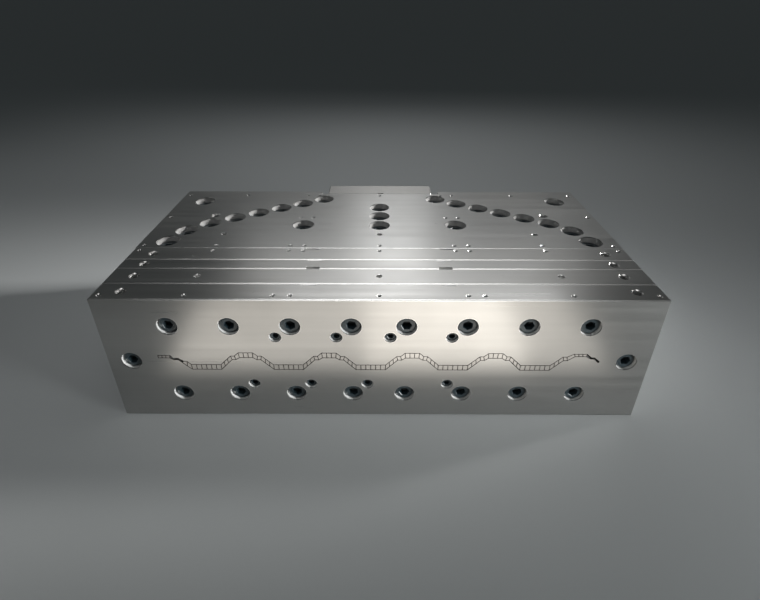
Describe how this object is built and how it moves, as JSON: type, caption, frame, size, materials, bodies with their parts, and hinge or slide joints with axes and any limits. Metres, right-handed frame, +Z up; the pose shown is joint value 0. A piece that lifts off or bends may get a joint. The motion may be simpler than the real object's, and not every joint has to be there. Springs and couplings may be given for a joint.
{
  "type": "panel extrusion die",
  "caption": "Steel extrusion die for a waved multi-wall panel: slot plates bolted to a split manifold body, with a finger core in the slot and a flanged melt inlet behind.",
  "frame": {"origin": "underside of the die block, at the centre of the space that the die takes up", "axes": "+X along the slot, +Y from the lip face back to the melt inlet, +Z up"},
  "size_m": [1.06, 0.576, 0.29],
  "materials": {
    "plate_steel": "ground, satin",
    "body_steel": "ground, satin",
    "adapter_steel": "milled, satin",
    "core_steel": "wire-cut and lapped",
    "black_screw": "black oxide",
    "dowel_steel": "hardened and ground",
    "seal_bronze": "turned"
  },
  "bodies": {
    "root": {"lip_plate": "plate_steel", "preland_plate": "plate_steel", "mandrel_plate": "plate_steel", "transition_plate": "plate_steel", "mandrel": "core_steel", "upper_body": "body_steel", "lower_body": "body_steel", "inlet_adapter": "adapter_steel", "seal_ring": "seal_bronze", "long_front_screws": "black_screw", "end_front_screws": "black_screw", "lip_screws": "black_screw", "coat_hanger_screws": "black_screw", "centre_screws": "black_screw", "corner_screws": "black_screw", "adapter_screws": "black_screw", "foot_screws": "black_screw", "lip_dowels": "dowel_steel", "preland_dowels": "dowel_steel", "mandrel_plate_dowels": "dowel_steel", "transition_dowels": "dowel_steel", "body_dowels": "dowel_steel", "adapter_dowels": "dowel_steel"}
  },
  "joints": []
}
